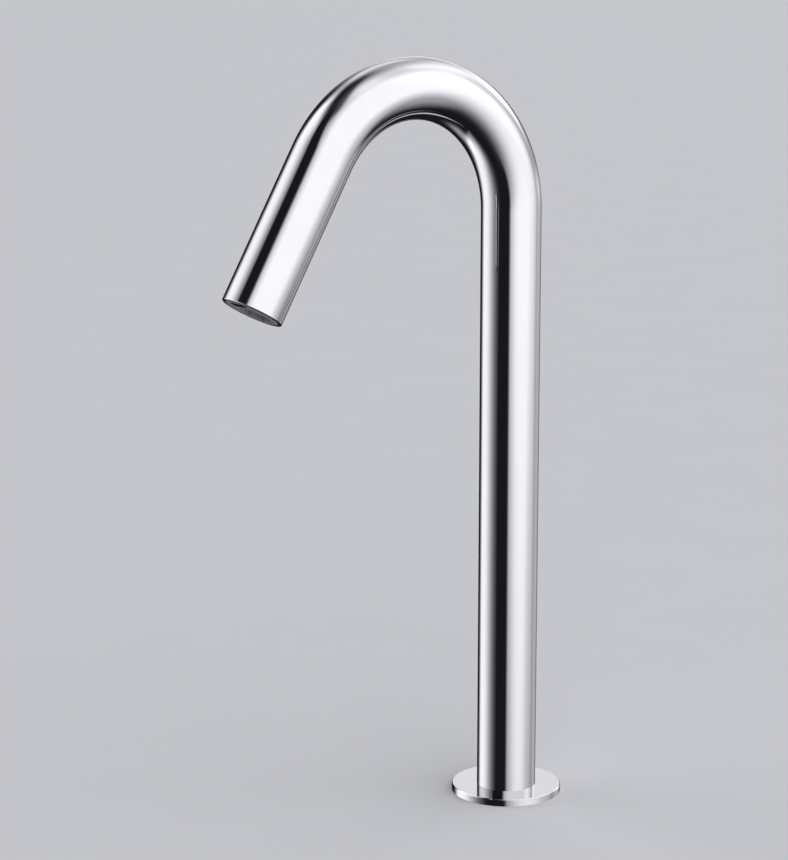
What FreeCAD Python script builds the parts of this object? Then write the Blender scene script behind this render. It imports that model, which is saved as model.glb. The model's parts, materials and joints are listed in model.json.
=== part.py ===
import FreeCAD, Part
import math
import os

from FreeCAD import Placement, Rotation, Vector

# A tall deck-mounted sensor tap: one bent tube on a thin round flange, with the
# water outlet and the infrared sensor side by side in the tube's open end.
# Millimetres, +Z up. The origin is the centre of the flange's underside, which
# stands on the deck. The tube bends in the YZ plane and pours towards -Y.

# --- bent tube ---------------------------------------------------------------
tube_diameter = 29.0
tube_wall = 1.5
column_height = 290.0        # deck to the start of the bend
bend_radius = 59.0           # of the centre line
bend_angle = 150.0           # degrees from straight up to the pouring direction
spout_length = 77.0          # end of the bend to the outlet face
tube_edge = 0.3              # bevel round the tube's open end

# --- flange and deck gasket --------------------------------------------------
flange_diameter = 54.0
flange_thickness = 3.5
flange_bevel = 0.35          # fine bright bevel round the top edge
flange_ledge = 1.8           # height of the step the tube stands on
gasket_thickness = 1.5
gasket_rim = 2.5             # flange metal outside the gasket groove
gasket_land = 3.0            # flange metal between the groove and the tube bore

# --- hollow shank ------------------------------------------------------------
shank_shoulder = 0.2         # the shank is this much wider than the tube's bore
shank_wall = 2.7
shank_length = 50.0          # below the deck
spigot_height = 27.0         # top of the plug inside the tube, above the deck
spigot_wall = 2.2
bulkhead_low = 6.0
bulkhead_thickness = 10.0
port_roof = 2.0              # wall between the hose port and the spigot, with the channel
hose_port_diameter = 9.0     # tapping size of an M10 x 1 hose tail
shank_chamfer = 0.6

# --- clamping stack under the deck --------------------------------------------
deck_thickness = 20.0
washer_diameter = 42.0
rubber_washer_thickness = 3.0
steel_washer_thickness = 2.0
nut_across_flats = 36.0
nut_height = 8.0
nut_chamfer = 1.2            # corner turned off, across
nut_chamfer_slope = 30.0     # degrees
washer_clearance = 0.3       # washers slide freely over the thread

# --- outlet head ---------------------------------------------------------------
head_length = 34.0
head_edge = 0.4              # small chamfer round the visible face
aerator_wall = 1.25          # head wall between the aerator and the tube
window_wall = 3.0            # head wall between the window and the tube
face_web = 0.85              # head wall between the aerator and the window
barb_length = 12.0
barb_radius = 3.15
channel_radius = 2.2
ring_station = 20.0          # sealing ring, back from the outlet face
ring_groove_depth = 1.7
ring_width = 1.9
ring_side_play = 0.15        # the groove is this much wider at each side
screw_station = 27.0         # grub screw, back from the outlet face
screw_diameter = 4.0
screw_length = 3.6
screw_socket = 2.0           # across flats
screw_socket_depth = 1.8
screw_inset = 0.35           # below the tube's outer surface

# --- aerator cartridge -----------------------------------------------------------
cage_inset = 0.3             # the cage sits just behind the outlet face
cage_length = 7.2
cage_wall = 1.1
cage_lip = 0.5               # the lip that the honeycomb rests on
key_notches = 6
notch_width = 1.6
notch_depth = 0.9
grille_thickness = 1.6
grille_rim = 0.35
grille_rings = 3             # rings of honeycomb cells round the middle cell
screen_thickness = 0.4
screen_rings = 4
cell_wall = 0.4
jet_disc_thickness = 1.4
jet_disc_skirt = 0.8
jet_count = 10
jet_diameter = 1.0
jet_inset = 2.4              # ring of jets, in from the disc's edge
seal_thickness = 1.2
regulator_height = 3.4
regulator_flange = 0.8       # its rim, held between the cage and the seal
regulator_shrink = 1.6       # the cup is this much slimmer than the cage
regulator_wall = 0.9
regulator_floor = 1.0
regulator_ring_width = 1.7
regulator_ring_height = 1.4
regulator_channel = 2.9      # between the cup's wall and its core
regulator_lobes = 6
lobe_radius = 0.5
outlet_hole_radius = 0.6
strainer_rise = 1.6
strainer_crown = 5.0         # diameter of its flat middle
strainer_wall = 0.4

# --- sensor ------------------------------------------------------------------------
window_length = 11.0
window_height = 4.2
window_thickness = 2.0
holder_length = 5.6
diode_diameter = 3.0
diode_spacing = 5.8
diode_body = 2.8             # straight part behind the dome
diode_lead_diameter = 0.5
diode_lead_spacing = 1.2
board_length = 13.5
board_width = 9.6
board_thickness = 1.0
chip_side = 4.0
chip_height = 0.9
potting_length = 15.5

# --- water tube, ferrules and lead ---------------------------------------------------
water_tube_diameter = 9.0
water_tube_wall = 1.25
ferrule_wall = 0.5
ferrule_length = 9.0
cable_diameter = 3.0
socket_diameter = 5.0
socket_length = 13.0
socket_wall = 0.6
socket_depth = 4.5
pin_count = 3
pin_diameter = 0.6
pin_length = 3.6

# --- clearances (on the radius) --------------------------------------------------------
fixed_fit = 0.05             # pieces joined for good
push_fit = 0.08              # pieces pushed together by hand
thread_fit = 0.05            # a thread in its mate, both drawn plain

overcut = 1.0                # a cutting shape runs this far past the face it opens

# --- worked-out sizes --------------------------------------------------------------------
tube_radius = tube_diameter / 2
bore_radius = tube_radius - tube_wall
spigot_radius = bore_radius - fixed_fit
shank_radius = bore_radius + shank_shoulder
shank_bore_radius = shank_radius - shank_wall
bulkhead_top = bulkhead_low + bulkhead_thickness
flange_radius = flange_diameter / 2

head_radius = bore_radius - push_fit
aerator_diameter = 2 * head_radius - aerator_wall - face_web - window_height - window_wall
thread_radius = aerator_diameter / 2
cage_radius = thread_radius - thread_fit
water_offset = thread_radius + aerator_wall - head_radius
sensor_offset = head_radius - window_wall - window_height / 2

cage_bore = cage_radius - cage_wall
cage_back = cage_inset + cage_length
seal_front = cage_back + regulator_flange
seal_back = seal_front + seal_thickness + push_fit
regulator_radius = cage_radius - regulator_shrink
well_radius = regulator_radius + push_fit
regulator_back = cage_back + regulator_flange + regulator_height
well_back = regulator_back + strainer_rise + push_fit
pocket_back = window_thickness + holder_length + potting_length

# The outlet frame: its origin is the middle of the outlet face, local +Z is the
# pouring direction and local +Y the outer side of the bend, away from the column.
turn = math.radians(bend_angle)
pour = Vector(0, -math.sin(turn), math.cos(turn))
bend_centre = Vector(0, -bend_radius, column_height)
bend_end = bend_centre + Vector(0, bend_radius * math.cos(turn), bend_radius * math.sin(turn))
outlet = bend_end + pour * spout_length
outlet_frame = Placement(outlet, Rotation(Vector(1, 0, 0), bend_angle))

X_AXIS = Vector(1, 0, 0)
Y_AXIS = Vector(0, 1, 0)
Z_AXIS = Vector(0, 0, 1)


# --- shape helpers -----------------------------------------------------------------------
def rod(radius, low, high, x=0.0, y=0.0):
    """A round bar along local Z between two heights."""
    return Part.makeCylinder(radius, high - low, Vector(x, y, low))


def ring(outer, inner, low, high, x=0.0, y=0.0):
    """A round bar with a round hole."""
    return rod(outer, low, high, x, y).cut(rod(inner, low - overcut, high + overcut, x, y))


def turned(points, x=0.0, y=0.0):
    """A profile of (radius, height) points, turned once round a line along Z."""
    corners = [Vector(x + radius, y, height) for radius, height in points]
    profile = Part.Face(Part.makePolygon(corners + corners[:1]))
    return profile.revolve(Vector(x, y, 0), Z_AXIS, 360)


def slot_block(length, width, low, high, y):
    """A bar along Z whose section has two straight sides and two round ends."""
    reach = length / 2 - width / 2
    half = width / 2
    right = Part.Arc(Vector(reach, y - half, low), Vector(reach + half, y, low),
                     Vector(reach, y + half, low))
    left = Part.Arc(Vector(-reach, y + half, low), Vector(-reach - half, y, low),
                    Vector(-reach, y - half, low))
    top = Part.LineSegment(Vector(reach, y + half, low), Vector(-reach, y + half, low))
    bottom = Part.LineSegment(Vector(-reach, y - half, low), Vector(reach, y - half, low))
    outline = Part.Wire([edge.toShape() for edge in (bottom, right, top, left)])
    return Part.Face(outline).extrude(Vector(0, 0, high - low))


def hex_bar(across_flats, low, high, x=0.0, y=0.0):
    """A six-sided bar along Z."""
    corner = across_flats / math.sqrt(3)
    points = []
    for step in range(6):
        angle = math.radians(60 * step + 30)
        points.append(Vector(x + corner * math.cos(angle), y + corner * math.sin(angle), low))
    return Part.Face(Part.makePolygon(points + points[:1])).extrude(Vector(0, 0, high - low))


def in_outlet(shape):
    """Moves a shape from the outlet frame to the tap's own frame."""
    placed = shape.copy()
    placed.Placement = outlet_frame.multiply(placed.Placement)
    return placed


def bent_bar(radius, offset, low, short_of_outlet):
    """A round bar that follows the tap's line, set to one side in the bend's plane.

    It climbs the column, turns round the bend's own centre and runs down the spout, so a
    bar with an offset keeps its distance from the tube's wall all the way.
    """
    column = rod(radius, low, column_height, y=offset)
    start = Part.Face(Part.Wire(Part.makeCircle(radius, Vector(0, offset, column_height), Z_AXIS)))
    bend = start.revolve(bend_centre, X_AXIS, bend_angle)
    spout = in_outlet(rod(radius, -spout_length, -short_of_outlet, y=offset))
    return column.fuse([bend, spout]).removeSplitter()


def hex_cells(rings, pitch):
    """Centres of a honeycomb: one middle cell and the given number of rings."""
    centres = []
    for across in range(-rings, rings + 1):
        for up in range(-rings, rings + 1):
            if abs(across + up) <= rings:
                x = pitch * (across + up / 2)
                y = pitch * up * math.sqrt(3) / 2
                centres.append((x, y))
    return centres


# --- bent tube -----------------------------------------------------------------------------
def spout_tube():
    """Column, bend and spout in one tube, open at both ends, with the grub screw's hole."""
    outside = bent_bar(tube_radius, 0, flange_ledge, 0)
    inside = bent_bar(bore_radius, 0, flange_ledge - overcut, -overcut)
    hole = Part.makeCylinder(screw_diameter / 2, tube_radius, Vector(0, 0, -screw_station), -Y_AXIS)
    bevel = turned([
        (tube_radius - tube_edge, 0), (tube_radius, -tube_edge),
        (tube_radius + overcut, -tube_edge), (tube_radius + overcut, overcut),
        (tube_radius - tube_edge, overcut),
    ])
    return outside.cut([inside, in_outlet(hole), in_outlet(bevel)])


# --- flange, gasket and shank ------------------------------------------------------------------
def base_flange():
    """A thin turned disc: a stepped bore for the tube's foot and a groove for the gasket."""
    disc = turned([
        (0, 0), (flange_radius, 0), (flange_radius, flange_thickness - flange_bevel),
        (flange_radius - flange_bevel, flange_thickness), (0, flange_thickness),
    ])
    foot = rod(tube_radius + fixed_fit, flange_ledge, flange_thickness + overcut)
    through = rod(shank_radius + push_fit, -overcut, flange_thickness + overcut)
    groove = ring(flange_radius - gasket_rim, tube_radius + gasket_land, -overcut, gasket_thickness)
    return disc.cut([foot, through, groove])


def deck_gasket():
    """A flat rubber ring that fills the groove, level with the flange's underside."""
    outer = flange_radius - gasket_rim - fixed_fit
    inner = tube_radius + gasket_land + fixed_fit
    return ring(outer, inner, 0, gasket_thickness)


def mounting_shank():
    """One turned piece: a plug inside the tube's foot and a hollow threaded shank below.

    The plug has a wall across it, with the hose port, the lead's socket hole and, on top,
    the spigot that the water tube is pushed over.
    """
    plug = rod(spigot_radius, flange_ledge, spigot_height)
    shank = turned([
        (0, -shank_length), (shank_radius - shank_chamfer, -shank_length),
        (shank_radius, -shank_length + shank_chamfer), (shank_radius, flange_ledge),
        (0, flange_ledge),
    ])
    cup = rod(spigot_radius - spigot_wall, bulkhead_top, spigot_height + overcut)
    bore = rod(shank_bore_radius, -shank_length - overcut, bulkhead_low)
    spigot_top = bulkhead_top + barb_length
    spigot = rod(barb_radius, bulkhead_top, spigot_top, y=water_offset)
    port = rod(hose_port_diameter / 2, bulkhead_low - overcut, bulkhead_top - port_roof, y=water_offset)
    channel = rod(channel_radius, bulkhead_low, spigot_top + overcut, y=water_offset)
    socket = rod(socket_diameter / 2 + fixed_fit, bulkhead_low - overcut, bulkhead_top + overcut,
                 y=sensor_offset)
    body = plug.fuse(shank).cut([cup, bore]).fuse(spigot)
    return body.cut([port, channel, socket])


# --- clamping stack -------------------------------------------------------------------------------
rubber_top = -deck_thickness
steel_top = rubber_top - rubber_washer_thickness
nut_top = steel_top - steel_washer_thickness


def clamp_washer(top, thickness):
    """A flat ring, loose on the shank."""
    return ring(washer_diameter / 2, shank_radius + washer_clearance, top - thickness, top)


def lock_nut():
    """A six-sided back nut with its corners turned off at both ends."""
    low = nut_top - nut_height
    corner = nut_across_flats / math.sqrt(3)
    drop = nut_chamfer * math.tan(math.radians(nut_chamfer_slope))
    blank = turned([
        (0, low), (corner - nut_chamfer, low), (corner, low + drop),
        (corner, nut_top - drop), (corner - nut_chamfer, nut_top), (0, nut_top),
    ])
    hexagon = hex_bar(nut_across_flats, low, nut_top)
    return hexagon.common(blank).cut(rod(shank_radius + thread_fit, low - overcut, nut_top + overcut))


# --- outlet head, in the outlet frame ------------------------------------------------------------
groove_floor = bore_radius - ring_groove_depth
screw_outer = -(tube_radius - screw_inset)
screw_inner = screw_outer + screw_length


def outlet_head():
    """The moulded insert in the tube's end, with every pocket that opens in its face."""
    body = turned([
        (0, -head_length), (head_radius - head_edge, -head_length),
        (head_radius, -head_length + head_edge), (head_radius, -head_edge),
        (head_radius - head_edge, 0), (0, 0),
    ])
    tail_back = -head_length - barb_length
    tail = rod(barb_radius, tail_back, -head_length, y=water_offset)
    thread = rod(thread_radius, -seal_back, overcut, y=water_offset)
    well = rod(well_radius, -well_back, 0, y=water_offset)
    channel = rod(channel_radius, tail_back - overcut, 0, y=water_offset)
    pocket = slot_block(window_length, window_height, -pocket_back, overcut, sensor_offset)
    lead_hole = rod(cable_diameter / 2 + push_fit, -head_length - overcut, -pocket_back + overcut,
                    y=sensor_offset)
    half_groove = ring_width / 2 + ring_side_play
    groove = ring(head_radius + overcut, groove_floor, -ring_station - half_groove,
                  -ring_station + half_groove)
    screw_seat = Part.makeCylinder(screw_diameter / 2, tube_radius, Vector(0, screw_inner, -screw_station),
                                   -Y_AXIS)
    return body.fuse(tail).cut([thread, well, channel, pocket, lead_hole, groove, screw_seat])


def head_seal_ring():
    """The square-cut rubber ring between the head and the tube."""
    return ring(bore_radius - fixed_fit, groove_floor + fixed_fit,
                -ring_station - ring_width / 2, -ring_station + ring_width / 2)


def head_grub_screw():
    """A headless screw with a six-sided socket, in from the side that faces the column."""
    body = Part.makeCylinder(screw_diameter / 2 - fixed_fit, screw_length, Vector(0, 0, 0), Z_AXIS)
    socket = hex_bar(screw_socket, -overcut, screw_socket_depth)
    screw = body.cut(socket)
    # local +Z of the screw points into the head, from its outer end
    screw.Placement = Placement(Vector(0, screw_outer, -screw_station), Rotation(X_AXIS, -90))
    return screw


# --- aerator cartridge, in the outlet frame --------------------------------------------------------
lip_back = cage_inset + notch_depth + cage_lip


def aerator_cage():
    """The threaded shell that the key turns, open at the back, with a lip at its mouth."""
    mouth = cage_bore - cage_lip
    shell = turned([
        (cage_bore, -cage_back), (cage_radius, -cage_back), (cage_radius, -cage_inset),
        (mouth, -cage_inset), (mouth, -lip_back), (cage_bore, -lip_back),
    ], y=water_offset)
    cuts = []
    for number in range(key_notches):
        notch = Part.makeBox(cage_radius, notch_width, notch_depth + overcut,
                             Vector(mouth - overcut, -notch_width / 2, -cage_inset - notch_depth))
        notch.rotate(Vector(0, 0, 0), Z_AXIS, 360 * number / key_notches)
        notch.translate(Vector(0, water_offset, 0))
        cuts.append(notch)
    return shell.cut(cuts)


def holed_disc(radius, rings, wall, rim, low, high):
    """A round plate with a honeycomb of six-sided holes, as wide as its rim allows."""
    corner = 1 / math.sqrt(3)
    pitch = (radius - rim + wall * corner) / (rings + corner)
    plate = rod(radius, low, high, y=water_offset)
    cells = [hex_bar(pitch - wall, low - overcut, high + overcut, x, y + water_offset)
             for x, y in hex_cells(rings, pitch)]
    return plate.cut(cells)


grille_back = lip_back + grille_thickness
screen_back = grille_back + screen_thickness


def aerator_grille():
    """The honeycomb that straightens the stream."""
    return holed_disc(cage_bore - fixed_fit, grille_rings, cell_wall, grille_rim,
                      -grille_back, -lip_back)


def mixing_screen():
    """A thin pierced plate behind the honeycomb."""
    return holed_disc(cage_bore - fixed_fit, screen_rings, cell_wall, grille_rim,
                      -screen_back, -grille_back)


def jet_disc():
    """A moulded cup that splits the water into jets; its skirt stands on the screen."""
    outer = cage_bore - fixed_fit
    floor = -cage_back + jet_disc_thickness
    cup = turned([
        (0, -cage_back), (outer, -cage_back), (outer, -screen_back),
        (outer - jet_disc_skirt, -screen_back), (outer - jet_disc_skirt, floor), (0, floor),
    ], y=water_offset)
    jets = []
    for number in range(jet_count):
        angle = 2 * math.pi * number / jet_count
        reach = outer - jet_inset
        jets.append(rod(jet_diameter / 2, -cage_back - overcut, -screen_back,
                        reach * math.cos(angle), water_offset + reach * math.sin(angle)))
    return cup.cut(jets)


def aerator_seal():
    """The flat rubber washer between the regulator's rim and the head's seat."""
    return ring(cage_radius, well_radius, -seal_back + push_fit, -seal_front, y=water_offset)


cup_radius = regulator_radius - regulator_wall
core_radius = cup_radius - regulator_channel
ring_rest = core_radius + regulator_channel / 2
floor_level = -seal_front - regulator_floor


def flow_regulator():
    """A rimmed cup with a lobed core: its soft ring closes the lobes as pressure rises."""
    cup = turned([
        (0, floor_level), (cup_radius, floor_level), (cup_radius, -regulator_back),
        (regulator_radius, -regulator_back), (regulator_radius, -seal_front),
        (cage_radius, -seal_front), (cage_radius, -cage_back), (cup_radius, -cage_back),
        (cup_radius, -seal_front), (0, -seal_front),
    ], y=water_offset)
    core = rod(core_radius, -regulator_back + regulator_wall, floor_level, y=water_offset)
    cuts = []
    for number in range(regulator_lobes):
        angle = 2 * math.pi * number / regulator_lobes
        x = math.cos(angle)
        y = math.sin(angle)
        cuts.append(rod(lobe_radius, -regulator_back, floor_level,
                        core_radius * x, water_offset + core_radius * y))
        cuts.append(rod(outlet_hole_radius, floor_level - overcut, -seal_front + overcut,
                        ring_rest * x, water_offset + ring_rest * y))
    return cup.fuse(core).cut(cuts)


def regulator_ring():
    """The soft ring that lies on the regulator's floor, round its core."""
    half_width = regulator_ring_width / 2
    return ring(ring_rest + half_width, ring_rest - half_width,
                floor_level - regulator_ring_height, floor_level, y=water_offset)


def inlet_strainer():
    """A shallow cone with a flat crown that keeps grit out of the regulator."""
    crown = strainer_crown / 2
    foot = -regulator_back
    top = foot - strainer_rise
    return turned([
        (0, top), (crown, top), (regulator_radius, foot),
        (regulator_radius - 2 * strainer_wall, foot), (crown - strainer_wall / 2, top + strainer_wall),
        (0, top + strainer_wall),
    ], y=water_offset)


# --- sensor, in the outlet frame ----------------------------------------------------------------------
holder_back = window_thickness + holder_length
board_back = holder_back + board_length


def sensor_window():
    """The dark lens, level with the head's face."""
    return slot_block(window_length - 2 * push_fit, window_height - 2 * push_fit,
                      -window_thickness, 0, sensor_offset)


def sensor_holder():
    """The black block that keeps the two diodes apart and straight."""
    block = slot_block(window_length - 2 * push_fit, window_height - 2 * push_fit,
                       -holder_back, -window_thickness, sensor_offset)
    wells = [rod(diode_diameter / 2 + push_fit, -holder_back - overcut, -window_thickness + overcut,
                 side * diode_spacing / 2, sensor_offset) for side in (-1, 1)]
    return block.cut(wells)


def diode(side):
    """A small round diode with a domed lens and two leads back to the board."""
    x = side * diode_spacing / 2
    radius = diode_diameter / 2
    tip = -window_thickness - push_fit
    shoulder = tip - radius
    body = rod(radius, shoulder - diode_body, shoulder, x, sensor_offset)
    dome = Part.makeSphere(radius, Vector(x, sensor_offset, shoulder))
    leads = [rod(diode_lead_diameter / 2, -holder_back, shoulder - diode_body + diode_lead_diameter,
                 x + end * diode_lead_spacing / 2, sensor_offset) for end in (-1, 1)]
    return body.fuse([dome] + leads).removeSplitter()


def sensor_board():
    """The circuit board on edge behind the diodes, with its signal chip."""
    board = Part.makeBox(board_width, board_thickness, board_length,
                         Vector(-board_width / 2, sensor_offset - board_thickness / 2, -board_back))
    middle = -(holder_back + board_back) / 2
    chip = Part.makeBox(chip_side, chip_height, chip_side,
                        Vector(-chip_side / 2, sensor_offset + board_thickness / 2, middle - chip_side / 2))
    return board.fuse(chip)


def sensor_cable():
    """The lead, from the board along the inside of the tube to the socket in the shank."""
    return bent_bar(cable_diameter / 2, sensor_offset, socket_top, board_back)


def sensor_potting(board, cable):
    """Cured resin that fills the pocket round the board and the end of the lead."""
    block = slot_block(window_length - 2 * push_fit, window_height - 2 * push_fit,
                       -pocket_back, -holder_back, sensor_offset)
    return in_outlet(block).cut([board, cable])


# --- water tube, ferrules and lead socket -----------------------------------------------------------------
socket_low = bulkhead_low
socket_top = socket_low + socket_length
socket_floor = socket_low + socket_depth
socket_mouth_radius = socket_diameter / 2 - socket_wall


def water_tube():
    """The inner hose: no water touches the chromed tube."""
    outer = water_tube_diameter / 2
    outside = bent_bar(outer, water_offset, bulkhead_top, head_length)
    inside = bent_bar(outer - water_tube_wall, water_offset, bulkhead_top - overcut,
                      head_length - overcut)
    return outside.cut(inside)


def ferrule(low):
    """A thin crimped sleeve over the end of the water tube."""
    inner = water_tube_diameter / 2 + fixed_fit / 2
    return ring(inner + ferrule_wall, inner, low, low + ferrule_length, y=water_offset)


def lead_socket():
    """The small round socket that the lead ends in, open towards the shank's bore."""
    body = rod(socket_diameter / 2, socket_low, socket_top, y=sensor_offset)
    mouth = rod(socket_mouth_radius, socket_low - overcut, socket_floor, y=sensor_offset)
    return body.cut(mouth)


def socket_pins():
    """The contact pins in the socket's mouth."""
    circle = socket_mouth_radius / 2
    pins = []
    for number in range(pin_count):
        angle = 2 * math.pi * number / pin_count
        pins.append(rod(pin_diameter / 2, socket_floor - pin_length, socket_floor,
                        circle * math.sin(angle), sensor_offset + circle * math.cos(angle)))
    return Part.makeCompound(pins)


# --- every node ------------------------------------------------------------------------------------------
board_in_place = in_outlet(sensor_board())
cable_in_place = sensor_cable()

nodes = {
    "spout_tube": spout_tube(),
    "base_flange": base_flange(),
    "deck_gasket": deck_gasket(),
    "mounting_shank": mounting_shank(),
    "rubber_washer": clamp_washer(rubber_top, rubber_washer_thickness),
    "steel_washer": clamp_washer(steel_top, steel_washer_thickness),
    "lock_nut": lock_nut(),
    "outlet_head": in_outlet(outlet_head()),
    "head_seal_ring": in_outlet(head_seal_ring()),
    "head_grub_screw": in_outlet(head_grub_screw()),
    "aerator_cage": in_outlet(aerator_cage()),
    "aerator_grille": in_outlet(aerator_grille()),
    "mixing_screen": in_outlet(mixing_screen()),
    "jet_disc": in_outlet(jet_disc()),
    "aerator_seal": in_outlet(aerator_seal()),
    "flow_regulator": in_outlet(flow_regulator()),
    "regulator_ring": in_outlet(regulator_ring()),
    "inlet_strainer": in_outlet(inlet_strainer()),
    "sensor_window": in_outlet(sensor_window()),
    "sensor_holder": in_outlet(sensor_holder()),
    "ir_emitter": in_outlet(diode(-1)),
    "ir_receiver": in_outlet(diode(1)),
    "sensor_board": board_in_place,
    "sensor_potting": sensor_potting(board_in_place, cable_in_place),
    "sensor_cable": cable_in_place,
    "water_tube": water_tube(),
    "lower_ferrule": ferrule(bulkhead_top),
    "upper_ferrule": in_outlet(ferrule(-head_length - ferrule_length)),
    "lead_socket": lead_socket(),
    "socket_pins": socket_pins(),
}

os.makedirs("parts", exist_ok=True)
for name, shape in nodes.items():
    shape.exportStep(f"parts/{name}.step")
    solids = len(shape.Solids)
    print(f"{name:16s} {solids} solid(s) {shape.Volume:10.1f} mm3 valid {shape.isValid()}")
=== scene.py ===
# %% [markdown]
# # A tall sensor tap in polished chrome
#
# The tap is one drawn tube, bent over a former and plated with bright chrome. It stands
# on a thin turned flange and carries its water outlet and its sensor side by side in the
# open end. This notebook dresses the engineering model of that tap for a render.
#
# The first call loads that model as a fixed frame: every part is already in its place,
# in metres, so nothing here has to be fitted. The box round the bare model is kept, to
# be printed beside the dressed one at the end.

# %% Load the frame
import json
import math

import bmesh
import bpy
import numpy as np
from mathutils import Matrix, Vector


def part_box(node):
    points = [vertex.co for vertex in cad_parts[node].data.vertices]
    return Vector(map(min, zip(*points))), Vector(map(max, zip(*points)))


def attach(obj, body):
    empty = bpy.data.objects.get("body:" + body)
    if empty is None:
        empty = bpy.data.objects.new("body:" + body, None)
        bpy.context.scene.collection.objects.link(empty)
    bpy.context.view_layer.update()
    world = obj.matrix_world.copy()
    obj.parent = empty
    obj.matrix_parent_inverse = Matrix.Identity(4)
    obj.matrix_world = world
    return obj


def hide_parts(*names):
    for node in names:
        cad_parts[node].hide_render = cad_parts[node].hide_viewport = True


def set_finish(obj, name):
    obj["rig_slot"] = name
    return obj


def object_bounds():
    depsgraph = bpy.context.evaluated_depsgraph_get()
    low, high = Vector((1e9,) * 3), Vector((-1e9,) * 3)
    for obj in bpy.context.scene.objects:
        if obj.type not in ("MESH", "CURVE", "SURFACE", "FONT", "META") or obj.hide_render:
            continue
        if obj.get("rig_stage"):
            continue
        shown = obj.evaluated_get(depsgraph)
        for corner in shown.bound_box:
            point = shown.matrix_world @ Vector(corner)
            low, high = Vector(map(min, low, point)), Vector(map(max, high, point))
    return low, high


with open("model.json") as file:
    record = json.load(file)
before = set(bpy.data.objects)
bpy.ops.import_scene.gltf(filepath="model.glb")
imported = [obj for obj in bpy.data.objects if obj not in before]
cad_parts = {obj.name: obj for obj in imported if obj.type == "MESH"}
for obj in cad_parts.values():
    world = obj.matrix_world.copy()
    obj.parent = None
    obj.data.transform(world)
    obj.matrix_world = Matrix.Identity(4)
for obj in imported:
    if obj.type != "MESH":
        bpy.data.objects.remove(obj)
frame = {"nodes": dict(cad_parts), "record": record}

engineering_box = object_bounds()

# %% [markdown]
# ## Sizes
#
# A mirror shows every facet, so the chromed pieces are made again with a fine mesh. They
# must be exactly as large as the parts they stand for. Sizes that the frame can give are
# read from it, and the few that it can't are named once, where they are first needed.

# %% Sizes of the tube
MM = 0.001
clearance = 0.05 * MM                     # between two pieces that slide into each other

tube_low, tube_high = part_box("spout_tube")
tube_radius = tube_high.x
tube_wall = 1.5 * MM
tube_edge = 0.3 * MM                      # bevel round the open end
tube_foot = tube_low.z                    # the ledge in the flange that the tube stands on
bend_radius = 59 * MM
bend_angle = math.radians(150)
spout_length = 77 * MM
column_height = tube_high.z - bend_radius - tube_radius
bend_finish = column_height + bend_radius * bend_angle
tube_end = bend_finish + spout_length

print(f"tube {2 * tube_radius / MM:.1f} mm across, {tube_end / MM:.0f} mm along its centre line")

# %% [markdown]
# ## Camera
#
# The photograph was taken with a long lens from a little above the tap, well round to its
# right: the spout points to the left and partly towards the camera. A pinhole camera fitted
# to the outlines gives the lens, the place and the tilt. With these the frame needs no
# lens shift at all.

# %% The photograph's camera
camera_turn = math.radians(53.3)          # round the tap from straight in front
camera_tilt = math.radians(11.12)         # below the horizon
camera_distance = 1167.8 * MM             # level distance to the column's plane
camera_aside = -55.9 * MM                 # the camera stands left of the column
camera_height = 411.9 * MM
lens_length = 102.65                      # a lens and its sensor are given in millimetres
sensor_width = 36

towards_camera = Vector((math.sin(camera_turn), -math.cos(camera_turn), 0))
rightwards = Vector((math.cos(camera_turn), math.sin(camera_turn), 0))
upwards = Vector((0, 0, 1))

camera_data = bpy.data.cameras.new("photo_camera")
camera_data.lens = lens_length
camera_data.sensor_width = sensor_width
camera_data.clip_start = 50 * MM
camera_data.clip_end = 200                # metres, past the farthest corner of the floor
camera = bpy.data.objects.new("photo_camera", camera_data)
camera.location = (towards_camera * camera_distance + rightwards * camera_aside
                   + upwards * camera_height)
look = -towards_camera * math.cos(camera_tilt) - upwards * math.sin(camera_tilt)
camera.rotation_mode = "QUATERNION"
camera.rotation_quaternion = look.to_track_quat("-Z", "Y")
bpy.context.scene.collection.objects.link(camera)
bpy.context.scene.camera = camera
print("camera at", [round(v, 3) for v in camera.location])

# %% [markdown]
# ## Nodes and colours
#
# Materials and the studio light are both networks of shader nodes. One small function
# adds a node: it sets the node's own options, then its constant inputs, then its links.
# Colours are written the way a colour picker gives them, as sRGB hex, and one function
# turns them into the linear light that the renderer works in. A Mix node has sockets for
# several kinds of value under the same names, so its colour sockets are asked for by number.

# %% Two helpers
COLOUR_A, COLOUR_B, MIXED_COLOUR = 6, 7, 2        # a Mix node's two colour inputs and its output


def add_node(tree, kind, links=None, values=None, **settings):
    """Adds one node to a tree with its settings, constant inputs and links, and returns it."""
    node = tree.nodes.new(kind)
    for name, value in settings.items():
        setattr(node, name, value)
    for name, value in (values or {}).items():
        node.inputs[name].default_value = value
    for name, socket in (links or {}).items():
        tree.links.new(socket, node.inputs[name])
    return node


def linear(code):
    """sRGB hex to linear light: ((c + 0.055) / 1.055) ^ 2.4 for each channel, or c / 12.92 near black."""
    channels = [int(code[i:i + 2], 16) / 255 for i in (1, 3, 5)]
    return [c / 12.92 if c <= 0.04045 else ((c + 0.055) / 1.055) ** 2.4 for c in channels] + [1.0]


print("mid grey, #808080, is", [round(c, 3) for c in linear("#808080")], "in linear light")

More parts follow.
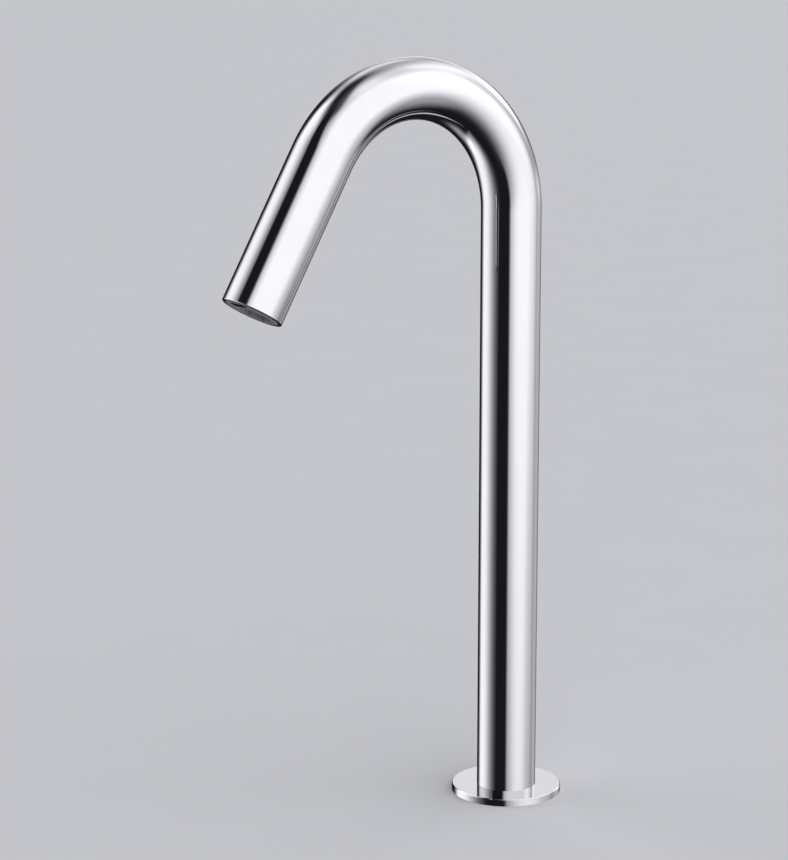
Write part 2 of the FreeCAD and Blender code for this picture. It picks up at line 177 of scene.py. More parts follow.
# %% [markdown]
# ## Studio
#
# Chrome has no colour of its own. What makes it look like chrome is what it mirrors: here
# a dark studio with a very large round lamp to the right of the camera, a fainter box
# beyond it, a tall box at the left and a little behind, and a black card between the lamp
# and the tall box. The card is the dark stripe down the column. A wall of light stands
# behind the tap, and a weak lamp hangs over it. The strip at the back and the high card
# draw the bright line and the dark one on the bend's outer side, while the feet and the
# edge strips fill its underside and its right side. The low card takes a little off what
# the column's foot and the spout's underside mirror. Real lamps would have to be placed
# one by one until each fell on the right part of the tube, so the studio is painted on the
# sky instead, where a lamp is a patch with soft edges at a chosen direction.
#
# Patches are added up in display brightness, where soft edges are easy to judge, and then
# raised to the power 2.2 to become light. A card takes its share of that sum away. Where
# no lamp reaches, the walls are faintly violet, as the dark stripe is in the photograph.

# %% An empty sky
world = bpy.data.worlds.new("studio")
world.use_nodes = True
bpy.context.scene.world = world
sky_tree = world.node_tree
sky_tree.nodes.clear()
sky = add_node(sky_tree, "ShaderNodeTexCoord").outputs["Generated"]     # the direction of each ray

# %% Patches on the sky
photo_bearing = math.degrees(camera_turn) - 90    # where the camera stands, seen from the tap


def combine(operation, first, second):
    """One calculation on the sky: each side is another calculation or a plain number."""
    sides = {0: first, 1: second}
    links = {side: value.outputs[0] for side, value in sides.items() if hasattr(value, "outputs")}
    numbers = {side: value for side, value in sides.items() if side not in links}
    return add_node(sky_tree, "ShaderNodeMath", links, numbers, operation=operation)


def soft_edge(angle, reach, fade):
    """1 while the angle is inside its reach and 0 beyond it, by a smooth step over the fade."""
    outside = math.radians(reach + math.copysign(fade / 2, reach))
    inside = math.radians(reach - math.copysign(fade / 2, reach))
    return add_node(sky_tree, "ShaderNodeMapRange", {"Value": angle.outputs[0]},
                    {"From Min": outside, "From Max": inside}, interpolation_type="SMOOTHSTEP")


def facing(side, height, roll=0):
    """The sky's direction as seen from a lamp: X points at its middle, Y to its right, Z up."""
    turn = [math.radians(v) for v in (roll, -height, photo_bearing + side)]
    turned = add_node(sky_tree, "ShaderNodeMapping", {"Vector": sky}, {"Rotation": turn},
                      vector_type="TEXTURE")
    return add_node(sky_tree, "ShaderNodeSeparateXYZ", {"Vector": turned.outputs["Vector"]})


def soft_box(brightness, side, height, left, right, below, above, roll=0):
    """A lamp with four straight sides: the brightness times a soft edge on each side.

    The edges left and right are steps over the bearing, atan2(Y, X), and those below and
    above over the elevation, asin(Z). Each is (distance from the middle, width of the fade).
    The side is the bearing of the middle from the camera, and all angles are in degrees.
    """
    seen_from = facing(side, height, roll).outputs
    bearing = add_node(sky_tree, "ShaderNodeMath", {0: seen_from["Y"], 1: seen_from["X"]},
                       operation="ARCTAN2")
    elevation = add_node(sky_tree, "ShaderNodeMath", {0: seen_from["Z"]}, operation="ARCSINE")
    patch = brightness
    for angle, (reach, fade), sign in ((bearing, left, -1), (bearing, right, 1),
                                       (elevation, below, -1), (elevation, above, 1)):
        patch = combine("MULTIPLY", soft_edge(angle, sign * reach, fade), patch)
    return patch


def soft_disc(brightness, side, height, reach, fade):
    """A round lamp: the brightness times a soft edge over the angle from its middle, acos(X)."""
    away = add_node(sky_tree, "ShaderNodeMath", {0: facing(side, height).outputs["X"]},
                    operation="ARCCOSINE")
    return combine("MULTIPLY", soft_edge(away, reach, fade), brightness)


# %% Lamps and cards
key_lamp = soft_disc(0.84, side=45, height=20, reach=63, fade=60)
right_box = soft_box(0.26, side=116, height=15, left=(28, 40), right=(36, 20),
                     below=(38, 8), above=(34, 30))
left_box = soft_box(0.82, side=-111, height=0, left=(26, 30), right=(40, 76),
                    below=(78, 55), above=(59, 20))
back_wall = soft_box(0.49, side=155, height=40, left=(26, 26), right=(38, 20),
                     below=(29, 8), above=(32, 25))
overhead = soft_disc(0.32, side=60, height=88, reach=15, fade=24)
back_strip = soft_box(0.22, side=-160, height=44, left=(22, 16), right=(30, 24),
                      below=(8, 10), above=(8, 12))
left_foot = soft_disc(0.42, side=-152, height=-56, reach=14, fade=20)
right_edge = soft_box(0.20, side=165, height=12, left=(41, 20), right=(22, 16),
                      below=(14, 8), above=(14, 12))
right_foot = soft_disc(0.18, side=94, height=-41, reach=13, fade=16)
low_edge = soft_box(0.25, side=158, height=-9, left=(39, 20), right=(20, 16),
                    below=(15, 8), above=(8, 6))
black_card = soft_box(1.0, side=-28, height=0, left=(22, 9), right=(18, 12),
                      below=(50, 30), above=(72, 16), roll=15)
high_card = soft_box(0.6, side=-90, height=75, left=(24, 14), right=(26, 14),
                     below=(9, 10), above=(9, 10))
low_card = soft_box(0.08, side=50, height=-40, left=(50, 30), right=(50, 30),
                    below=(30, 20), above=(25, 20))

lamps = [key_lamp, right_box, left_box, back_wall, overhead, back_strip, left_foot, right_edge,
         right_foot, low_edge]
cards = [black_card, high_card, low_card]
print("studio of", len(lamps), "lamps and", len(cards), "cards")

# %% All the patches together
DISPLAY_GAMMA = 2.2
dark_studio = 0.129                               # display brightness of the unlit walls
studio_gain = 1.70                                # makes up for what chrome swallows
lamp_colour = "#FBFBFF"
unlit_colour = "#E5DFFF"                          # daylight that leaks in, faintly violet
fully_lit = 0.4                                   # display brightness from which only lamps count

total = lamps[0]
for lamp in lamps[1:]:
    total = combine("ADD", total, lamp)
for card in cards:
    total = combine("MULTIPLY", total, combine("SUBTRACT", 1.0, card))
total = combine("ADD", total, dark_studio)
lit = add_node(sky_tree, "ShaderNodeMapRange", {"Value": total.outputs[0]},
               {"From Min": dark_studio, "From Max": fully_lit})
tint = add_node(sky_tree, "ShaderNodeMix", {0: lit.outputs[0]},
                {COLOUR_A: linear(unlit_colour), COLOUR_B: linear(lamp_colour)}, data_type="RGBA")
light = combine("MULTIPLY", combine("POWER", total, DISPLAY_GAMMA), studio_gain)
studio = add_node(sky_tree, "ShaderNodeBackground",
                  {"Strength": light.outputs[0], "Color": tint.outputs[MIXED_COLOUR]})
print("sky of", len(sky_tree.nodes), "nodes")

# %% [markdown]
# The camera itself doesn't see the lamps: past the edge of the floor it looks at a plain
# pale backdrop. The floor is pale too, and level with the worktop that the tap is bolted
# to, so it hides the shank and the nut as a real one does. The photographed chrome
# mirrors no floor, so the floor is left out of mirror rays. It still takes shadows.

# %% The backdrop
backdrop_colour = "#D9DADC"

backdrop = add_node(sky_tree, "ShaderNodeBackground", None, {"Color": linear(backdrop_colour)})
seen = add_node(sky_tree, "ShaderNodeLightPath").outputs["Is Camera Ray"]
mixed = add_node(sky_tree, "ShaderNodeMixShader",
                 {0: seen, 1: studio.outputs[0], 2: backdrop.outputs[0]})
add_node(sky_tree, "ShaderNodeOutputWorld", {"Surface": mixed.outputs[0]})
bpy.context.scene.view_settings.view_transform = "Standard"

# %% The floor
floor_reach = 60.0                                # metres from the tap to each side
floor_colour = "#CFD0D2"
floor_cloud = "#CCCDCF"
floor_cloud_size = 90 * MM                        # a paint roller leaves the faintest clouds

floor_mesh = bpy.data.meshes.new("floor")
floor_mesh.from_pydata([(x * floor_reach, y * floor_reach, 0) for x, y in
                        ((-1, -1), (1, -1), (1, 1), (-1, 1))], [], [(0, 1, 2, 3)])
floor = bpy.data.objects.new("floor", floor_mesh)
bpy.context.scene.collection.objects.link(floor)
floor.visible_glossy = False
floor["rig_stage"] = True

floor_paint = bpy.data.materials.new("rolled_wall_paint")
floor_paint.use_nodes = True
floor_tree = floor_paint.node_tree
floor_tree.nodes.clear()
floor_place = add_node(floor_tree, "ShaderNodeTexCoord").outputs["Object"]
clouds = add_node(floor_tree, "ShaderNodeTexNoise", {"Vector": floor_place},
                  {"Scale": 1 / floor_cloud_size})
floor_mix = add_node(floor_tree, "ShaderNodeMix", {0: clouds.outputs["Fac"]},
                     {COLOUR_A: linear(floor_colour), COLOUR_B: linear(floor_cloud)},
                     data_type="RGBA")
floor_shader = add_node(floor_tree, "ShaderNodeBsdfPrincipled",
                        {"Base Color": floor_mix.outputs[MIXED_COLOUR]},
                        {"Roughness": 0.9, "Specular IOR Level": 0.1})
add_node(floor_tree, "ShaderNodeOutputMaterial", {"Surface": floor_shader.outputs[0]})
floor_mesh.materials.append(floor_paint)
print("floor", 2 * floor_reach, "m square")

# %% [markdown]
# ## Fine meshes from numpy grids
#
# Both chromed pieces are a closed outline carried along a line: the tube's wall along
# its centre line, and the flange's outline round its axis. Such a surface is a grid of
# points, row by row. The whole grid is worked out at once, and its faces are found by
# shifting the grid of point numbers by one row and one column. Corners sharper than 30
# degrees stay crisp, and all the rest is shaded smoothly.

# %% From a grid to a piece
CRISP = math.radians(30)


def grid_faces(rows, columns):
    """Four-sided faces of a grid that closes in both directions, as rows of point numbers."""
    number = np.arange(rows * columns).reshape(rows, columns)
    ahead = np.roll(number, -1, axis=0)
    faces = [number, np.roll(number, -1, axis=1), np.roll(ahead, -1, axis=1), ahead]
    return np.stack(faces, axis=-1)


def full_turn(segments):
    """Evenly spaced angles for one turn, without the last, which is the first again."""
    return 2 * math.pi * np.arange(segments) / segments


def new_piece(name, points, faces):
    """A mesh object at the origin, with its faces outwards and its corners crisp.

    Points that no face uses are dropped.
    """
    mesh = bpy.data.meshes.new(name)
    mesh.from_pydata(np.reshape(points, (-1, 3)).tolist(), [], np.reshape(faces, (-1, 4)).tolist())
    work = bmesh.new()
    work.from_mesh(mesh)
    loose = [v for v in work.verts if not v.link_faces]
    bmesh.ops.delete(work, geom=loose, context="VERTS")
    bmesh.ops.recalc_face_normals(work, faces=work.faces)
    work.to_mesh(mesh)
    work.free()
    mesh.shade_smooth()
    mesh.set_sharp_from_angle(angle=CRISP)
    piece = bpy.data.objects.new(name, mesh)
    bpy.context.scene.collection.objects.link(piece)
    print(f"{name}: {len(mesh.polygons)} faces")
    return piece


# %% [markdown]
# ## The bent tube
#
# On the real tap this is a brass tube, drawn over a mandrel, cut, bent and polished. A
# curve object with a round bevel would be quick, but its rows can't be placed, and it
# has no wall. So the tube is written as a function of two numbers: the station along
# the centre line and the angle round it. The outline of the wall is a list of stations
# and radii: up the outside, over the small bevel, across the cut end, and back inside.

# %% The centre line and the wall
ROUND = 144                               # points round the tube
COLUMN_ROWS = 12                          # a straight pipe needs few
BEND_ROWS = 160
BORE_ROWS = 48                            # the bend's inside is hardly ever seen
HOLE_HALF = 6                             # faces from the screw hole's middle to its patch's edge


def on_tube(station, across, deep):
    """A point near the centre line: `across` to the right of it and `deep` to the bend's outer side.

    The turn is how far the bend has got: (station - column height) / bend radius, held
    between 0 and the whole bend. The centre line is the bend's centre, plus the bend
    radius along the outer direction, plus what is left of the station along the pipe.
    """
    turn = np.clip((station - column_height) / bend_radius, 0, bend_angle)
    rest = station - column_height - bend_radius * turn
    y = -bend_radius + (bend_radius + deep) * np.cos(turn) - rest * np.sin(turn)
    z = column_height + (bend_radius + deep) * np.sin(turn) + rest * np.cos(turn)
    return np.stack([np.broadcast_to(across, y.shape), y, z], axis=-1)


screw_from_end = 27 * MM                  # grub screw, back from the open end
face_step = 2 * math.pi * tube_radius / ROUND
hole_station = tube_end - screw_from_end
hole_rows = hole_station + face_step * np.arange(-HOLE_HALF, HOLE_HALF + 1)

outside_rows = np.concatenate([
    np.linspace(tube_foot, column_height, COLUMN_ROWS, endpoint=False),
    np.linspace(column_height, bend_finish, BEND_ROWS),
    hole_rows,
    [tube_end - tube_edge],
])
inside_rows = np.concatenate([
    [tube_end], hole_rows[::-1],
    np.linspace(bend_finish, column_height, BORE_ROWS),
    [tube_foot],
])
stations = np.concatenate([outside_rows, [tube_end], inside_rows])
radii = np.concatenate([
    np.full(len(outside_rows), tube_radius), [tube_radius - tube_edge],
    np.full(len(inside_rows), tube_radius - tube_wall),
])
around = full_turn(ROUND) - math.pi
tube_points = on_tube(stations[:, None] + 0 * around, radii[:, None] * np.sin(around),
                      -radii[:, None] * np.cos(around))
print("grid of", tube_points.shape[0], "rows and", tube_points.shape[1], "columns")

# %% [markdown]
# A grub screw goes in through the wall on the side that faces the column. Its round hole
# doesn't fit a square grid, so a square patch of faces is taken out of the outside and of
# the inside, and rings of new faces shrink from the square's edge to the circle. The two
# circles are then joined through the metal.

# %% The grub screw's hole
PATCH_RINGS = 4
screw_hole_radius = 2 * MM


def square_edge(first_row, rows_step, middle_column):
    """Point numbers round the square patch, in order, starting at one corner."""
    side = 2 * HOLE_HALF
    steps = np.arange(side)
    row = np.concatenate([0 * steps, steps, 0 * steps + side, side - steps])
    column = np.concatenate([steps, 0 * steps + side, side - steps, 0 * steps])
    return (first_row + rows_step * row) * ROUND + middle_column - HOLE_HALF + column


def shrink(edge, radius):
    """Rings from the square's edge to the hole's circle, on a tube of the given radius.

    A point is known by its distance along and across the hole's middle. Each ring mixes
    the edge's place with the place straight inwards on the circle, and the depth follows
    from the tube's round section.
    """
    flat = tube_points.reshape(-1, 3)[edge]
    across = flat[:, 0]
    along = stations[edge // ROUND] - hole_station
    reach = np.hypot(across, along)
    mix = np.linspace(0, 1, PATCH_RINGS + 1)[1:, None]
    scale = (1 - mix) + mix * screw_hole_radius / reach
    across, along = across * scale, along * scale
    return on_tube(hole_station + along, across, -np.sqrt(radius ** 2 - across ** 2))


# %% Join the hole to the grid
middle = ROUND // 2
outer_first = int(np.argmin(np.abs(outside_rows - hole_rows[0])))
inner_first = len(outside_rows) + 2 + 2 * HOLE_HALF     # the bevel's and the end's rows come first
outer_edge = square_edge(outer_first, 1, middle)
inner_edge = square_edge(inner_first, -1, middle)

cells = grid_faces(len(stations), ROUND)
keep = np.ones(cells.shape[:2], bool)
columns = slice(middle - HOLE_HALF, middle + HOLE_HALF)
keep[outer_first:outer_first + 2 * HOLE_HALF, columns] = False
keep[inner_first - 2 * HOLE_HALF:inner_first, columns] = False

grid_size = len(stations) * ROUND
loop = len(outer_edge)
outer_rings = grid_size + np.arange(PATCH_RINGS * loop).reshape(PATCH_RINGS, loop)
inner_rings = outer_rings + PATCH_RINGS * loop
ladder = np.concatenate([[outer_edge], outer_rings, inner_rings[::-1], [inner_edge]])
ladder_next = np.roll(ladder, -1, axis=1)
patch = np.stack([ladder[:-1], ladder_next[:-1], ladder_next[1:], ladder[1:]], axis=-1)

tube_vertices = np.concatenate([
    tube_points.reshape(-1, 3),
    shrink(outer_edge, tube_radius).reshape(-1, 3),
    shrink(inner_edge, tube_radius - tube_wall).reshape(-1, 3),
])
tube_faces = np.concatenate([cells[keep], patch.reshape(-1, 4)])
chrome_tube = new_piece("chrome_tube", tube_vertices, tube_faces)
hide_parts("spout_tube")
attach(chrome_tube, "tap")
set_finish(chrome_tube, "chrome")

# %% [markdown]
# ## The flange
#
# A disc turned on a lathe, chromed like the tube. It is thin, and the fine bevel round
# its top edge catches a bright line. Underneath, it has a groove for the gasket. A
# primitive disc with a bevel modifier would give the top, but not the stepped bore, so
# its whole outline is written down once and carried round the axis. The photographed
# column shows no image of its flange, so the flange, like the floor, stays out of mirror
# rays, and so does the gasket that would then be seen through it.

# %% The flange's sizes
FLANGE_SIDES = 256
flange_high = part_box("base_flange")[1]
gasket_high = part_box("deck_gasket")[1]

flange_radius = flange_high.x
flange_top = flange_high.z
flange_bevel = 0.35 * MM
flange_bore = 13.28 * MM                  # slides over the shank
foot_seat = tube_radius + clearance       # the recess for the tube's foot
groove_inner = tube_radius + 3 * MM       # leaves a wall between the recess and the groove
groove_outer = gasket_high.x + clearance
print(f"flange {2 * flange_radius / MM:.1f} mm across and {flange_top / MM:.1f} mm high")


# %% An outline carried round the axis
def turned(name, radius, height, angle):
    """A closed outline of radii and heights carried round the Z axis.

    x = radius * cos(angle), y = radius * sin(angle), z = height. The outline has one row
    for each of its points, and a row may change with the angle.
    """
    radius, height = np.broadcast_arrays(radius + 0 * angle, height)
    points = np.stack([radius * np.cos(angle), radius * np.sin(angle), height], axis=-1)
    return new_piece(name, points, grid_faces(*radius.shape))


# %% The flange
flange_outline = np.array([
    (flange_radius, 0), (flange_radius, flange_top - flange_bevel),
    (flange_radius - flange_bevel, flange_top), (foot_seat, flange_top),
    (foot_seat, tube_foot), (flange_bore, tube_foot), (flange_bore, 0), (groove_inner, 0),
    (groove_inner, gasket_high.z), (groove_outer, gasket_high.z), (groove_outer, 0),
])
chrome_flange = turned("chrome_flange", flange_outline[:, :1], flange_outline[:, 1:],
                       full_turn(FLANGE_SIDES))
for unseen in (chrome_flange, frame["nodes"]["deck_gasket"]):
    unseen.visible_glossy = False
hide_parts("base_flange")
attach(chrome_flange, "tap")
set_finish(chrome_flange, "chrome")

# %% [markdown]
# ## Threads
#
# The engineering model draws its threads plain. A bump map would fake them face on, but
# the outline of a screw is what the eye reads, so they are made as real ridges. A pipe
# thread's crests and roots are rounded, and a cosine comes very near to that form. Its
# radius depends on the angle minus the turns climbed, which makes the ridge one helix:
#
# radius = outer radius - depth * (1 - cos(angle - 2 pi * height / pitch)) / 2
#
# The nut has the same helix, 0.05 mm wider. The joint that turns it moves it by one pitch
# a turn, so the two stay in step at every pose.

# %% The helix
SHANK_PITCH = 25.4 / 14 * MM                      # 3/4 inch pipe thread, 14 to the inch
SHANK_DEPTH = 0.64 * SHANK_PITCH                  # as deep as a pipe thread is
ROWS_PER_PITCH = 12


def helix(radius, depth, pitch, height, angle):
    """The radius of a rounded thread, by the formula above."""
    phase = angle - 2 * math.pi * height / pitch
    return radius - depth * (1 - np.cos(phase)) / 2


def thread_rows(low, high, pitch):
    """Heights for the rows of a thread, with the same number of rows to each pitch."""
    return np.linspace(low, high, int((high - low) / pitch * ROWS_PER_PITCH) + 1)[:, None]


def smooth_step(x):
    """3 x^2 - 2 x^3, held between 0 and 1."""
    x = np.clip(x, 0, 1)
    return x * x * (3 - 2 * x)


print(f"shank thread: pitch {SHANK_PITCH / MM:.3f} mm, depth {SHANK_DEPTH / MM:.3f} mm")

# %% [markdown]
# ## The shank
#
# One piece of brass on the real tap: a plug inside the tube's foot and a hollow threaded
# shank below the deck. Here it is two meshes that meet face to face at the tube's foot.
# The lower one is a grid, because all of it is round. The upper one has holes and a spigot
# on one side, so it is a copy of the engineering mesh: its loose triangles are merged, all
# below the meeting line is cut away, and the cut is filled.

# %% The threaded sleeve
SHANK_SIDES = 96
shank_low, shank_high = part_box("mounting_shank")
shank_radius = shank_high.x
shank_bore = shank_radius - 2.7 * MM
shank_chamfer = 0.6 * MM
plug_radius = tube_radius - tube_wall - clearance
meeting = tube_foot + 0.02 * MM                   # clear of the engineering mesh's own step
runout = 3 * MM                                   # the thread fades out under the flange

shank_angle = full_turn(SHANK_SIDES)
height = thread_rows(shank_low.z, tube_foot, SHANK_PITCH)
depth = SHANK_DEPTH * smooth_step(-height / runout)
ridge = helix(shank_radius, depth, SHANK_PITCH, height, shank_angle)
ridge = np.minimum(ridge, shank_radius - shank_chamfer + (height - shank_low.z))
inner_radius = np.array([plug_radius, plug_radius, shank_bore, shank_bore])[:, None] + 0 * shank_angle
inner_height = np.array([tube_foot, meeting, meeting, shank_low.z])[:, None]
threaded_shank = turned("threaded_shank", np.concatenate([ridge, inner_radius]),
                        np.concatenate([height, inner_height]), shank_angle)

# %% The plug inside the tube
same_point = 0.0005 * MM                          # corners closer than this are merged

work = bmesh.new()
work.from_mesh(frame["nodes"]["mounting_shank"].data)
bmesh.ops.remove_doubles(work, verts=work.verts, dist=same_point)
everything = work.verts[:] + work.edges[:] + work.faces[:]
cut = bmesh.ops.bisect_plane(work, geom=everything, plane_co=(0, 0, meeting), plane_no=(0, 0, 1),
                             clear_inner=True)["geom_cut"]
rim = [edge for edge in cut if isinstance(edge, bmesh.types.BMEdge)]
bmesh.ops.triangle_fill(work, edges=rim, use_beauty=True)
bmesh.ops.recalc_face_normals(work, faces=work.faces)
open_edges = sum(not edge.is_manifold for edge in work.edges)
plug_mesh = bpy.data.meshes.new("shank_plug")
work.to_mesh(plug_mesh)
work.free()
plug_mesh.shade_smooth()
plug_mesh.set_sharp_from_angle(angle=CRISP)
shank_plug = bpy.data.objects.new("shank_plug", plug_mesh)
bpy.context.scene.collection.objects.link(shank_plug)
print("shank_plug:", len(plug_mesh.polygons), "faces,", open_edges, "open edges")

for piece in (threaded_shank, shank_plug):
    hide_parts("mounting_shank")
    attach(piece, "tap")
    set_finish(piece, "brass")

# %% [markdown]
# ## The back nut
#
# A slice of six-sided brass bar, drilled, tapped, and turned at both ends to take the
# corners off. All of that is one outline again, if its radius may change with the angle.
# A hexagon's radius is its half width divided by the cosine of the angle from the middle
# of the flat. The turned corner is a cone, and the smaller of the two radii wins, which
# draws the curved edge that a real nut has on each flat. The thread inside is the shank's
# helix with a little room, opened by a cone at each mouth.

# %% The nut's outside
NUT_SIDES = 288
END_ROWS = 8
nut_low, nut_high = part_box("lock_nut")
half_flat = math.radians(30)                      # angle from a flat's middle to its corner
nut_corner = nut_high.y
nut_flat = nut_corner * math.cos(half_flat)
corner_off = 1.2 * MM                             # what turning takes off a corner's radius
corner_slope = math.tan(math.radians(30))

nut_angle = full_turn(NUT_SIDES)
corner_drop = corner_off * corner_slope
end_steps = np.linspace(0, corner_drop, END_ROWS)
nut_heights = np.concatenate([nut_low.z + end_steps, nut_high.z - end_steps[::-1]])[:, None]
from_end = np.minimum(nut_heights - nut_low.z, nut_high.z - nut_heights)
from_flat = (nut_angle + half_flat) % (2 * half_flat) - half_flat
hexagon = nut_flat / np.cos(from_flat)
cone = nut_corner - corner_off + from_end / corner_slope
outside = np.minimum(hexagon, cone)
print(f"nut {2 * nut_flat / MM:.1f} mm across its flats")

# %% The nut's thread
mouth_cone = 0.3 * MM                             # how far each mouth opens past the thread

tapped_heights = thread_rows(nut_low.z, nut_high.z, SHANK_PITCH)[::-1]
tapped = helix(shank_radius + clearance, SHANK_DEPTH, SHANK_PITCH, tapped_heights, nut_angle)
tapped_end = np.minimum(tapped_heights - nut_low.z, nut_high.z - tapped_heights)
tapped = np.maximum(tapped, shank_radius + clearance + mouth_cone - tapped_end)
brass_nut = turned("brass_nut", np.concatenate([outside, tapped]),
                   np.concatenate([nut_heights, tapped_heights]), nut_angle)
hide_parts("lock_nut")
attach(brass_nut, "clamp_nut")
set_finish(brass_nut, "brass")

# %% [markdown]
# ## The aerator's cage
#
# The moulded shell that screws into the outlet. Its face has six notches for a key, and
# its outside has a fine thread of 1 mm pitch that shows when it is screwed out. It is made
# in the outlet's own directions and put in place by the tube's centre line. The notches
# are columns of the grid whose front is pushed back, with two columns close together at
# each side of a notch, so that its walls stand straight.

# %% The cage's sizes
CAGE_PITCH = 1.0 * MM
CAGE_DEPTH = 0.55 * MM
CAGE_SIDES = 144
KEY_NOTCHES = 6
cage_low, cage_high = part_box("aerator_cage")
cage_radius = cage_high.x
cage_front = -0.3 * MM                            # from the outlet face, which is at 0
cage_back = -7.5 * MM
cage_bore = cage_radius - 1.1 * MM
cage_mouth = cage_bore - 0.5 * MM                 # the lip that the grille rests on
lip_back = cage_front - 1.4 * MM
notch_depth = 0.9 * MM
notch_width = 1.6 * MM
plain_collar = 0.9 * MM                           # no thread this close to the front
print(f"cage {2 * cage_radius / MM:.1f} mm across and {(cage_front - cage_back) / MM:.1f} mm long")

# %% The cage's columns and its notched front
notch_half = math.asin(notch_width / (cage_radius + cage_mouth))
beside_wall = np.array([-1.001, -0.999, 0.999, 1.001])  # just off both sides of a notch's walls
notch_sides = (full_turn(KEY_NOTCHES)[:, None] + beside_wall * notch_half).ravel() % (2 * math.pi)
off_notch = 0.001                                 # radians, so that no two columns coincide
cage_angle = np.sort(np.concatenate([full_turn(CAGE_SIDES) + off_notch, notch_sides]))
half_step = math.pi / KEY_NOTCHES
from_notch = np.abs((cage_angle + half_step) % (2 * half_step) - half_step)
front = cage_front - notch_depth * (from_notch < notch_half)

# %% The cage's outline, put in the outlet
rise = thread_rows(0, cage_front - cage_back, CAGE_PITCH) / (cage_front - cage_back)
cage_height = cage_back + rise * (front - cage_back)
depth = CAGE_DEPTH * smooth_step((cage_front - plain_collar - cage_height) / (CAGE_PITCH / 2))
cage_ridge = helix(cage_radius, depth, CAGE_PITCH, cage_height, cage_angle)
flat = 0 * cage_angle
cage_rows = np.concatenate([cage_ridge, [cage_mouth + flat], [cage_mouth + flat],
                            [cage_bore + flat], [cage_bore + flat]])
cage_heights = np.concatenate([cage_height, [front], [lip_back + flat], [lip_back + flat],
                               [cage_back + flat]])

outlet_centre = Vector(on_tube(np.array(tube_end), 0.0, 0.0))
outer_side = Vector(on_tube(np.array(tube_end), 0.0, 1.0)) - outlet_centre
water_offset = ((cage_low + cage_high) / 2 - outlet_centre).dot(outer_side)
cage_points = on_tube(tube_end + cage_heights, cage_rows * np.cos(cage_angle),
                      water_offset + cage_rows * np.sin(cage_angle))
threaded_cage = new_piece("threaded_cage", cage_points, grid_faces(*cage_rows.shape))
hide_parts("aerator_cage")
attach(threaded_cage, "aerator_cartridge")
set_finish(threaded_cage, "grey_plastic")

# %% [markdown]
# ## Finishes
#
# Each finish is named for the real material and for how its surface was made. All of them
# start from the same parts: a shader, the place on the piece in metres, and patterns that
# vary its colour, its roughness and its relief a little. The scale of every pattern is a
# real size in millimetres, so it is one divided by that size.

# %% A material to start from
NOISE_LOW, NOISE_HIGH = 0.3, 0.7                  # most of a noise lies between these
LINE_SQUEEZE = 1 / 20                             # how much a line's length is shortened for the noise
finishes = {}                                     # material slot of the record -> material


def new_material(name, **values):
    """An empty material: its tree, its shader with constant inputs set, and the place on the piece."""
    material = bpy.data.materials.new(name)
    material.use_nodes = True
    tree = material.node_tree
    tree.nodes.clear()
    inputs = {key.replace("_", " ").title().replace("Ior", "IOR"): value
              for key, value in values.items()}
    shader = add_node(tree, "ShaderNodeBsdfPrincipled", None, inputs)
    add_node(tree, "ShaderNodeOutputMaterial", {"Surface": shader.outputs[0]})
    place = add_node(tree, "ShaderNodeTexCoord").outputs["Object"]
    return material, tree, shader, place


def vary(tree, shader, colours, colour_by, roughness, roughness_by, relief, relief_by):
    """Joins three patterns, each from 0 to 1, to a shader.

    Colour: the first hex where its pattern is 0, the second where it is 1. Roughness: the
    two numbers at the low and the high end of what a noise mostly gives. Relief: the
    pattern's height, in metres.
    """
    mix = add_node(tree, "ShaderNodeMix", {0: colour_by},
                   {COLOUR_A: linear(colours[0]), COLOUR_B: linear(colours[1])}, data_type="RGBA")
    rough = add_node(tree, "ShaderNodeMapRange", {"Value": roughness_by},
                     {"From Min": NOISE_LOW, "From Max": NOISE_HIGH,
                      "To Min": roughness[0], "To Max": roughness[1]})
    bump = add_node(tree, "ShaderNodeBump", {"Height": relief_by}, {"Distance": relief})
    tree.links.new(mix.outputs[MIXED_COLOUR], shader.inputs["Base Color"])
    tree.links.new(rough.outputs[0], shader.inputs["Roughness"])
    tree.links.new(bump.outputs[0], shader.inputs["Normal"])


# %% [markdown]
# Bright chrome over nickel on polished brass is a near-perfect mirror with a cool tint.
# What gives it away as metal and not glass is a breath of haze that changes from place to
# place, and a very faint waviness left by the polishing wheel, a few tens of millimetres
# long, that bends straight reflections.

# %% Bright chrome plate
def chrome_plate():
    """A cool mirror: haze in 18 mm clouds, and waves 30 mm long and 0.02 mm high."""
    material, tree, shader, place = new_material("bright_chrome_plate", metallic=1.0)
    haze = add_node(tree, "ShaderNodeTexNoise", {"Vector": place},
                    {"Scale": 1 / (18 * MM), "Detail": 4})
    wheel = add_node(tree, "ShaderNodeTexNoise", {"Vector": place},
                     {"Scale": 1 / (30 * MM), "Detail": 1})
    vary(tree, shader, ("#CFCFD0", "#CCCCCE"), haze.outputs["Fac"], (0.03, 0.07),
         haze.outputs["Fac"], 0.02 * MM, wheel.outputs["Fac"])
    return material


finishes["chrome"] = chrome_plate()

# %% [markdown]
# The shank and the nut are brass bar, turned on a lathe and left bare. The tool leaves
# rings round the axis that pull each highlight out sideways. Noise that is read at
# (distance from the axis, height) draws such rings, because it can't tell one angle from
# another. Real ones are 0.1 to 0.2 mm apart, too fine to show, so these are 0.4 mm apart.
# Handling darkens brass in clouds, and rubs its corners and thread crests bright.

